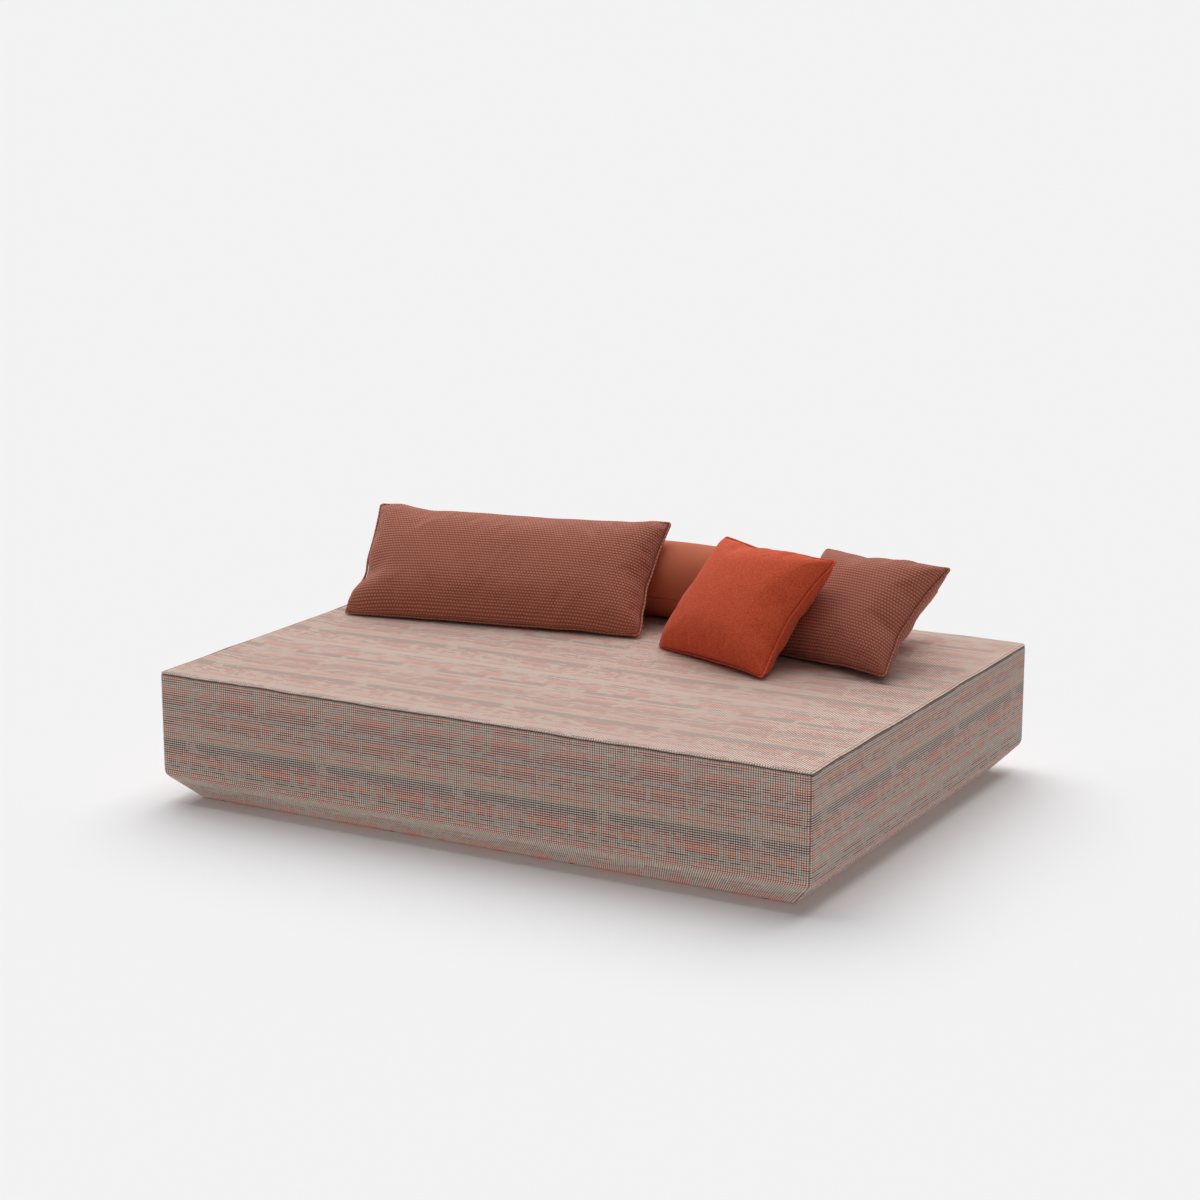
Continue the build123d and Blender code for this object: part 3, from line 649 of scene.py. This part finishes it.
# Basket weave: rows of short floats, each row shifted by half a float. cell is a float's
# length and width on the cloth
def basketMaterial(name, light, dark, cell):
    graph = Graph(name)
    across, down = graph.weavePlace()[1:]
    down = down / cell[1]
    across = across / cell[0] + (down.math("FLOOR") * 0.5).math("FRACT")
    offX, offY = ((place.math("FRACT") - 0.5) / 0.5 for place in (across, down))
    distance = (offX * offX / 0.75) ** 2 + (offY * offY / 0.4) ** 1.5
    dot = 1 - graph.ease(distance, 0.15, 1.1)
    yarn, broad = graph.noise(1400, 2, 0.5), graph.noise(7, 2, 0.5)
    shade = graph.mix(dot, linear(dark), linear(light))
    shade = graph.mix(0.25 * yarn, shade, linear(dark))
    shade = graph.mix(0.18 * broad, shade, linear(light))
    graph.surface(Sheen_Weight=0.15, Specular_IOR_Level=0.25)
    return graph.finish(shade, 0.88, dot + 0.25 * yarn, 0.75, 0.0016)


# Felt: short mottled fibres
def feltMaterial(name, light, dark):
    graph = Graph(name)
    fibre, cloud = graph.noise(300, 3, 0.75), graph.noise(60, 3, 0.6)
    shade = graph.mix(graph.ease(fibre, 0.36, 0.64), linear(dark), linear(light))
    shade = graph.mix(0.3 * cloud, shade, linear(dark))
    return graph.finish(shade, 0.95, fibre, 0.45, 0.0008, Sheen_Weight=0.08, Specular_IOR_Level=0.15)


rustBasket = basketMaterial("rustBasketWeave", (219, 135, 108), (148, 83, 65), (0.0094, 0.0088))
brownBasket = basketMaterial("brownBasketWeave", (208, 124, 99), (141, 79, 62), (0.0094, 0.0088))
orangeFelt = feltMaterial("orangeFelt", (236, 105, 68), (192, 73, 46))

# Leaning cushions, in metres and degrees. A wave of an edge is its place as a share from -1
# to 1, how far it goes out, and its reach; a blunt corner is two signs and an amount; a dent
# is a place as two shares, a depth and two reaches
cushions = {
    "longCushion": {
        "size": (0.94, 0.404, 0.17), "foot": (-0.4668, 0.1571, 0.381), "turns": (9.55, 45.8, 0.35),
        "pull": (0.035, 0.044), "fullness": 4, "pullShape": (2, 5), "grid": (116, 52),
        "material": rustBasket, "slot": "rust_basket_weave", "node": "long_cushion",
        "waves": {
            "top": [(-0.86, 0.006, 0.07), (-0.62, -0.006, 0.1), (0.08, -0.006, 0.7), (0.88, 0.005, 0.07)],
            "left": [(-0.3, -0.012, 0.22), (-0.72, 0.006, 0.14)],
            "right": [(-0.16, -0.005, 0.2), (-0.62, -0.003, 0.12)],
            "bottom": [(0.6, -0.003, 0.1)],
        },
        "blunt": [(1, -1, 0.006), (-1, -1, 0.003)],
        "dents": [
            (0.955, 0.1, 0.011, 0.024, 0.014),
            (0.95, -0.42, 0.009, 0.024, 0.013),
            (-0.93, -0.36, 0.009, 0.04, 0.022),
        ],
    },
    "brownCushion": {
        "size": (0.474, 0.372, 0.195), "foot": (0.5987, 0.1976, 0.3886), "turns": (-22.3, 46.0, 3.9),
        "pull": (0.136, 0.042), "fullness": 2, "pullShape": (2, 3), "grid": (64, 52),
        "material": brownBasket, "slot": "brown_basket_weave", "node": "brown_cushion",
        "waves": {
            "top": [(-0.8, 0.002, 0.12), (-0.2, -0.004, 0.2), (0.5, 0.005, 0.2)],
            "right": [(-0.3, -0.004, 0.15)],
            "bottom": [(0.3, -0.003, 0.15)],
        },
        "blunt": [(-1, -1, 0.006)],
        "dents": [
            (0.86, 0.3, 0.01, 0.034, 0.016),
            (0.87, -0.3, 0.009, 0.034, 0.016),
            (-0.2, 0.85, 0.004, 0.03, 0.04),
        ],
    },
    "orangeCushion": {
        "size": (0.48, 0.391, 0.205), "foot": (0.2932, 0.0885, 0.381), "turns": (-25.5, 42.8, 2.1),
        "pull": (0.132, 0.046), "fullness": 2, "pullShape": (2, 3), "grid": (64, 54),
        "material": orangeFelt, "slot": "orange_felt", "node": "orange_cushion",
        "waves": {
            "top": [(-0.85, 0.001, 0.12), (-0.32, -0.006, 0.22), (0.42, 0.004, 0.2)],
            "right": [(0.0, -0.003, 0.2)],
            "left": [(-0.2, 0.003, 0.3)],
        },
        "blunt": [(-1, -1, 0.012)],
        "dents": [
            (0.85, 0.12, 0.007, 0.034, 0.018),
            (0.87, -0.55, 0.007, 0.03, 0.016),
            (-0.3, 0.85, 0.004, 0.03, 0.04),
        ],
    },
}
crown = {
    "frontPower": 0.38, "backPower": 0.36, "waveLift": 16,
    "pucker": 0.0009, "puckerReach": 0.016, "sag": 0.9, "sagReach": 0.036,
    "faceReach": 0.012,  # height over the seam's plane at which a face counts in full
    "cornerReach": 0.12,
}
inflation = {"frames": 20, "cap": 0.006, "startInset": 0.001, "smoothing": 5, "quickRise": 1.08}
clothSettings = {
    "quality": 6,
    "mass": 0.3,
    "tension_stiffness": 15,
    "compression_stiffness": 15,
    "shear_stiffness": 5,
    "bending_stiffness": 0.35,
    "use_pressure": True,
    "uniform_pressure_force": 4.0,
    "shrink_min": -0.02,
    "vertex_group_mass": "seam",
}
fillings = {"scale": (0.975, 0.96, 0.93), "gap": 0.004}
contact = {"cushion": 0.0008, "bolster": 0.0006}  # gaps that a resting cushion keeps
pipe = {"width": 0.0074, "height": 0.0062, "sections": 10, "spacing": 0.004, "out": 0.003, "ripple": 0.0014}


# Places from -1 to 1, crowded towards both ends by a quarter of a sine wave each way
def crowded(place):
    return 0.5 * (place + np.sin(place * math.pi / 2))


# Crowned form over the face: sides pull in between the corners, and the height is
# ((1 - |u|^fullness)(1 - v^2))^power. Bell curves push each edge out or in at the named
# places, and corners are drawn in
def crownPoints(cushion, inset, side):
    width, height, thickness = cushion["size"]
    columns, rows = cushion["grid"]
    u, v = np.meshgrid(crowded(np.linspace(-1, 1, columns)), crowded(np.linspace(-1, 1, rows)))
    endPull, sidePull = cushion["pull"]
    endShape, sideShape = cushion["pullShape"]
    x = (width / 2 - inset) * u * (1 - endPull * (1 - np.abs(v) ** endShape))
    y = (height / 2 - inset) * v * (1 - sidePull * (1 - np.abs(u) ** sideShape))
    power = crown["frontPower"] if side > 0 else crown["backPower"]
    rise = np.clip((1 - np.abs(u) ** cushion["fullness"]) * (1 - v**2), 0, 1) ** power
    z = side * (thickness / 2 - inset) * rise
    for edge, waves in cushion["waves"].items():
        sign = 1 if edge in ("top", "right") else -1
        level = edge in ("top", "bottom")
        towards, along = (v * sign, u) if level else (u * sign, v)
        for place, amount, reach in waves:
            push = amount * np.clip(towards, 0, 1) ** 3 * np.exp(-(((along - place) / reach) ** 2))
            x, y = (x, y + sign * push) if level else (x + sign * push, y)
            z = z * (1 + crown["waveLift"] * push)
    for signU, signV, amount in cushion["blunt"]:
        near = np.clip(u * signU, 0, 1) ** 9 * np.clip(v * signV, 0, 1) ** 9
        x, y = x - signU * amount * near, y - signV * amount * near
    return np.stack([x, y, z], -1)


# Two panels sewn along their common edge, as one closed skin. The cloth's coordinates are
# distances along the middle of the front
def sewnPanels(cushion, inset):
    columns, rows = cushion["grid"]
    front, back = crownPoints(cushion, inset, 1), crownPoints(cushion, inset, -1)
    count = rows * columns
    index = np.arange(count).reshape(rows, columns)
    inner = np.zeros((rows, columns), bool)
    inner[1:-1, 1:-1] = True
    backIndex = index.copy()
    backIndex[inner] = count + np.arange(inner.sum())
    faces = np.concatenate([gridFaces(rows, columns), backIndex.ravel()[gridFaces(rows, columns, flip=True)]])
    points = np.concatenate([front.reshape(-1, 3), back[inner]])
    across, down = distances(front[rows // 2]), distances(front[:, columns // 2])
    places = np.stack(np.broadcast_arrays(across[None, :], down[:, None]), -1)
    cloth = np.concatenate([places.reshape(-1, 2), places[inner]])
    return points, faces, cloth, index, backIndex


# Unit directions of a leaning cushion's plane, and its middle
def leaningFrame(cushion):
    turn, lean, tip = np.radians(cushion["turns"])
    along = np.array([math.cos(turn), math.sin(turn), 0])
    back = np.array([-math.sin(turn), math.cos(turn), 0])
    rise = back * math.sin(lean) + np.array([0, 0, math.cos(lean)])
    tippedAlong = along * math.cos(tip) + rise * math.sin(tip)
    tippedRise = rise * math.cos(tip) - along * math.sin(tip)
    origin = np.array(cushion["foot"]) + tippedRise * cushion["size"][1] / 2
    return origin, np.stack([tippedAlong, tippedRise, np.cross(along, rise)])


# Cushions swell by cloth simulation with their seams held, all in the same run
def swell(pieces):
    for piece, cushion in zip(pieces, cushions.values()):
        seam = np.unique(rimOf(cushion["grids"][0])).tolist()
        piece.vertex_groups.new(name="seam").add(seam, 1.0, "REPLACE")
        cloth = piece.modifiers.new("cloth", "CLOTH")
        for key, value in clothSettings.items():
            setattr(cloth.settings, key, value)
        cloth.settings.effector_weights.gravity = 0
        cloth.collision_settings.use_collision = False
        cloth.point_cache.frame_start, cloth.point_cache.frame_end = 1, inflation["frames"]
    scene = bpy.context.scene
    for step in range(1, inflation["frames"] + 1):
        scene.frame_set(step)
    depsgraph = bpy.context.evaluated_depsgraph_get()
    results = []
    for piece in pieces:
        evaluated = piece.evaluated_get(depsgraph)
        coordinates = np.empty(len(evaluated.data.vertices) * 3)
        evaluated.data.vertices.foreach_get("co", coordinates)
        results.append(coordinates.reshape(-1, 3))
    for piece in pieces:
        piece.modifiers.remove(piece.modifiers["cloth"])
        piece.vertex_groups.clear()
    scene.frame_set(1)
    return results


# Points inside the bolster go out to its surface, in the plane of its section
def clearOfBolster(points, gap):
    share = points[:, 0] / (bolster["length"] / 2)
    halfWide, halfThick, turn = bolsterSection(np.clip(share, -1, 1))
    dy, dz = points[:, 1] - bolster["y"], points[:, 2] - bolster["z"]
    wide = dy * np.cos(turn) + dz * np.sin(turn)
    thick = dz * np.cos(turn) - dy * np.sin(turn)
    ratio = np.hypot(wide / (halfWide + gap), thick / (halfThick + gap))
    grow = np.where((ratio < 1) & (np.abs(share) < 1), 1 / np.maximum(ratio, 0.2), 1)
    return np.stack([points[:, 0], *bolsterPlaces(wide * grow, thick * grow, turn)], 1)


# Points under another cushion's front crown go up to it, along its normal, by the crown's
# height between the four nearest points of its grid
def clearOfCushion(points, other, gap):
    origin, axes = leaningFrame(other)
    local = (points - origin) @ axes.T
    half, pull, heights = np.array(other["size"][:2]) / 2, np.array(other["pull"]), other["heights"]
    uv = local[:, :2] / half
    for attempt in range(4):
        uv = local[:, :2] / (half * (1 - pull * (1 - np.clip(uv[:, ::-1], -1, 1) ** 2)))
    place = np.linspace(-1, 1, 201)
    spot = (np.interp(uv, crowded(place), place) + 1) / 2 * (np.array(heights.shape[::-1]) - 1.001)
    left, low = np.floor(spot).astype(int).T
    shareX, shareY = (spot - np.floor(spot)).T
    level = (heights[low, left] * (1 - shareX) + heights[low, left + 1] * shareX) * (1 - shareY)
    level += (heights[low + 1, left] * (1 - shareX) + heights[low + 1, left + 1] * shareX) * shareY
    under = (np.abs(uv) < 1).all(1) & (local[:, 2] < level + gap) & (local[:, 2] > -0.05)
    local[:, 2] = np.where(under, level + gap, local[:, 2])
    return local @ axes + origin


# Movement of each face's grid, less its own local mean, which leaves the folds. The mean
# is a blur with weights 1, 2 and 1 at steps of 1, 2 and 4 points, both ways
def foldsOnly(moved, index, backIndex):
    folds = np.zeros_like(moved)
    for grid in (index, backIndex):
        mean = moved[grid]
        for attempt in range(inflation["smoothing"]):
            for axis in (0, 1):
                mean = np.moveaxis(mean, axis, 0)
                for step in (1, 2, 4):
                    padded = np.concatenate([mean[:1]] * step + [mean] + [mean[-1:]] * step)
                    mean = (padded[2 * step :] + 2 * mean + padded[: -2 * step]) / 4
                mean = np.moveaxis(mean, 0, axis)
        folds[grid] = moved[grid] - mean
    folds[rimOf(index)] = 0
    return folds


# Short puckers across the seam that die away over the face: crossed sine waves of the
# place along the edge
def puckers(points, cushion):
    width, height = cushion["size"][:2]
    fromEnd, fromSide = width / 2 - np.abs(points[:, 0]), height / 2 - np.abs(points[:, 1])
    for distance, along in ((fromSide, points[:, 0]), (fromEnd, points[:, 1])):
        wave = np.sin(along / 0.0061 + 1.1) * np.sin(along / 0.0197 + 0.4) + 0.6 * np.sin(along / 0.0108)
        near = np.exp(-distance / crown["puckerReach"]) * fade(np.abs(points[:, 2]), 0, crown["faceReach"])
        points[:, 2] += np.sign(points[:, 2]) * crown["pucker"] * wave * near
    return points


# Soft dents at the named places of a cushion's faces, long across the seam
def dent(points, cushion):
    width, height = cushion["size"][:2]
    for placeX, placeY, depth, reachX, reachY in cushion["dents"]:
        awayX, awayY = points[:, 0] - placeX * width / 2, points[:, 1] - placeY * height / 2
        bell = np.exp(-((awayX / reachX) ** 2 + (awayY / reachY) ** 2))
        points[:, 2] -= np.sign(points[:, 2]) * np.minimum(depth * bell, np.abs(points[:, 2]) * 0.7)
    return points


# The front bulges down to the platform ahead of its seam: low heights shrink by a bell
# curve of the height, less so near the corners
def settle(points, local, cushion):
    height = np.maximum(points[:, 2] - bolster["floor"], 0)
    inner = fade(1 - np.abs(local[:, 0]) / (cushion["size"][0] / 2), 0, crown["cornerReach"])
    ahead = fade(local[:, 2], 0, crown["faceReach"]) * eased(inner)
    points[:, 2] -= ahead * height * crown["sag"] * np.exp(-((height / crown["sagReach"]) ** 2))
    return points


# What a cushion rests on: the platform, then the bolster or the other cushion
def rest(points, cushionName, gap):
    if cushionName == "orangeCushion":
        points = clearOfCushion(points, cushions["brownCushion"], contact["cushion"] + gap)
    points = clearOfBolster(points, contact["bolster"] + gap)
    points[:, 2] = np.maximum(points[:, 2], bolster["floor"] + gap)
    return points


# Piping in the cushion's plane: the seam's ring, spaced evenly and softened, goes out to
# the seam's edge and ripples by two crossed sine waves, and a tube is carried along it
def pipingTube(seamRing):
    closed = np.concatenate([seamRing, seamRing[:1]]) * [1, 1, 0]
    length = distances(closed)[-1]
    even = np.linspace(0, length, int(length / pipe["spacing"]), endpoint=False)
    path = placesOn(closed, even)
    for attempt in range(3):
        path = (np.roll(path, 1, 0) + 2 * path + np.roll(path, -1, 0)) / 4
    outward, upward = ringDirections(path, 2)
    ripple = pipe["ripple"] * np.sin(even / 0.031) * np.sin(even / 0.087 + 1)
    path = path + outward * pipe["out"] + upward * ripple[:, None]
    tube, faces = tubeRing(path, (outward, upward), pipe["width"], pipe["height"], pipe["sections"])
    down = np.linspace(0, 0.02, pipe["sections"])[None, :]
    return tube.reshape(-1, 3), faces, np.stack(np.broadcast_arrays(even[:, None] * 0.7, down), -1)


for name, cushion in cushions.items():
    points, faces, cloth, *cushion["grids"] = sewnPanels(cushion, inflation["startInset"])
    cushion["piece"] = makePiece(f"{name}Cover", points, faces, cushion["material"], cloth)
    cushion["start"], cushion["faces"] = points, faces

swollen = swell([cushion["piece"] for cushion in cushions.values()])
print("cushions swollen")

for (name, cushion), points in zip(cushions.items(), swollen):
    piece, start, node, index = cushion["piece"], cushion["start"], cushion["node"], cushion["grids"][0]
    moved = foldsOnly(points - start, *cushion["grids"])
    size = np.linalg.norm(moved, axis=1)[:, None]
    points = start + moved * np.minimum(1, inflation["cap"] / np.maximum(size, 1e-9))
    points = dent(puckers(points, cushion), cushion)
    cushion["heights"] = points[index, 2]
    origin, axes = leaningFrame(cushion)
    placed = rest(settle(points @ axes + origin, points, cushion), name, 0)
    piece.data.vertices.foreach_set("co", placed.astype(np.float32).ravel())
    piece.data.update()
    smooth = piece.modifiers.new("smooth", "SUBSURF")
    smooth.levels = smooth.render_levels = 1
    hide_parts(f"{node}_front_panel", f"{node}_back_panel")
    inside = points * fillings["scale"]
    inside = rest(settle(inside @ axes + origin, inside, cushion), name, fillings["gap"])
    fillPiece = makePiece(f"{name}Filling", inside, cushion["faces"], calico)
    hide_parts(f"{node}_filling")
    tube, faces, uv = pipingTube(start[rimOf(index)])
    tube = rest(tube @ axes + origin, name, 0)
    piping = makePiece(f"{name}Piping", tube, faces, cushion["material"], uv)
    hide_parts(f"{node}_piping")
    for part in (piece, fillPiece, piping):
        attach(part, node)
print("cushions placed")


# Sawn timber: stretched rings and fine pores in Object coordinates
def timberMaterial(name, light, dark, stretch, bands):
    graph = Graph(name)
    mapped = graph.node("ShaderNodeMapping", {}, {"Vector": graph.place(), "Scale": stretch})
    grain, pores = graph.noise(bands, 4, 0.6, mapped), graph.noise(bands * 9, 2, 0.5, mapped)
    shade = graph.mix(graph.ease(grain, 0.35, 0.65), linear(light), linear(dark))
    shade = graph.mix(0.3 * pores, shade, linear(dark))
    return graph.finish(shade, 0.55 + 0.25 * pores, pores, 0.3, 0.0005)


def foamMaterial(name, colour):
    graph = Graph(name)
    cells = graph.node("ShaderNodeTexVoronoi", {}, {"Vector": graph.place(), "Scale": 320}, "Distance")
    broad = graph.noise(6, 2, 0.5)
    shade = graph.mix(cells, linear(colour, 0.82), linear(colour))
    shade = graph.mix(0.25 * broad, shade, linear(colour, 0.85))
    return graph.finish(shade, 0.95, cells, 0.4, 0.0008)


# Steel or plastic with faint marks
def hardMaterial(name, colour, metallic, rough, scale):
    graph = Graph(name)
    marks = graph.noise(scale, 3, 0.6)
    shade = graph.mix(marks, linear(colour, 0.85), linear(colour))
    return graph.finish(shade, rough + 0.15 * marks, marks, 0.15, 0.0003, Metallic=metallic)


plainMaterials = {
    "dust_cloth": clothMaterial("dustCloth", (52, 52, 54), 500, 0.95),
    "timber": timberMaterial("timber", (222, 190, 146), (184, 142, 96), (1, 1, 14), 9),
    "plywood": timberMaterial("plywood", (226, 200, 160), (196, 160, 112), (1.2, 6, 20), 5),
    "screw_steel": hardMaterial("screwSteel", (196, 190, 168), 1.0, 0.3, 300),
    "glide_plastic": hardMaterial("glidePlastic", (196, 192, 186), 0.0, 0.5, 400),
    "firm_foam": foamMaterial("firmFoam", (232, 226, 204)),
    "soft_foam": foamMaterial("softFoam", (240, 240, 234)),
}
slotOfNode = {part["node"]: part["material_slot"] for part in frame["record"]["subparts"]}

# Soft top layer of foam under the cover, rounded at its upper edge: rings of one rounded
# plan are stacked by height, each drawn in by its step
topper = {
    "halfLength": 0.9968,
    "halfDepth": 0.7368,
    "radius": 0.011,
    "rings": [(0, 0.3211), (0, 0.365), (0.0012, 0.3682), (0.0035, 0.3702), (0.0075, 0.3712)],
}
topperPlan = roundedRing(topper["halfLength"], topper["halfDepth"], topper["radius"], 7, 120)
half = np.array([topper["halfLength"], topper["halfDepth"]])
topperRings = [np.insert(topperPlan * (1 - step / half), 2, height, 1) for step, height in topper["rings"]]
topperPiece = makeStack("foamTopper", np.array(topperRings), plainMaterials["soft_foam"])
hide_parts("foam_topper")
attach(topperPiece, "platform")

for node, carried in frame["nodes"].items():
    if slotOfNode.get(node) in plainMaterials:
        carried.data.materials.clear()
        carried.data.materials.append(plainMaterials[slotOfNode[node]])
print("carried nodes finished")

# Floor: pale to the camera. To all other rays it gives back less and glows with an even light, a painted
# bounce that lights the object from below
floor = {"size": 500.0, "shown": (247, 247, 248), "returned": 0.55, "even": 0.36}
floorPoints = np.array([(-1, -1, 0), (1, -1, 0), (1, 1, 0), (-1, 1, 0)]) * floor["size"]
floorGraph = Graph("floor")
seen = floorGraph.directRay()
floorColour = floorGraph.mix(seen, (*[floor["returned"]] * 3, 1), linear(floor["shown"]))
# painted bounce light: an even glow that the camera doesn't see
floorGlow = floorGraph.mix(seen, (*[floor["even"]] * 3, 1), (0, 0, 0, 1))
floorGraph.surface(Base_Color=floorColour, Roughness=1.0, Specular_IOR_Level=0.0)
floorGraph.surface(Emission_Color=floorGlow, Emission_Strength=1.0)
floorPiece = makePiece("floor", floorPoints, [[0, 1, 2, 3]], floorGraph.material)

# Light: one broad soft sun high on the left and an even sky, so that a colour on a level
# surface renders as it is written. distance is the colour beyond the floor
light = {"sky": 0.25, "sun": 0.82, "spread": 72, "tilt": -25, "heading": -17, "distance": (243, 243, 244)}
world = bpy.data.worlds.new("world")
bpy.context.scene.world = world
worldGraph = Graph("world", world)
worldGraph.surface(Color=(1, 1, 1, 1), Strength=light["sky"])
sky = Wire(worldGraph, worldGraph.shader.outputs[0])
distance = worldGraph.node("ShaderNodeBackground", {}, {"Color": linear(light["distance"])})
blend = worldGraph.node("ShaderNodeMixShader", {}, {0: worldGraph.directRay(), 1: sky, 2: distance})
worldGraph.feed(worldGraph.nodes["World Output"].inputs["Surface"], blend)
lamp = bpy.data.lights.new("lamp", "SUN")
lamp.energy = light["sun"] * math.pi
lamp.angle = math.radians(light["spread"])
lampObject = bpy.data.objects.new("lamp", lamp)
lampObject.location = (0, 0, 4)
lampObject.rotation_euler = (math.radians(light["tilt"]), math.radians(light["heading"]), 0)
bpy.context.collection.objects.link(lampObject)
bpy.context.scene.view_settings.view_transform = "Standard"
print("stage and light set")
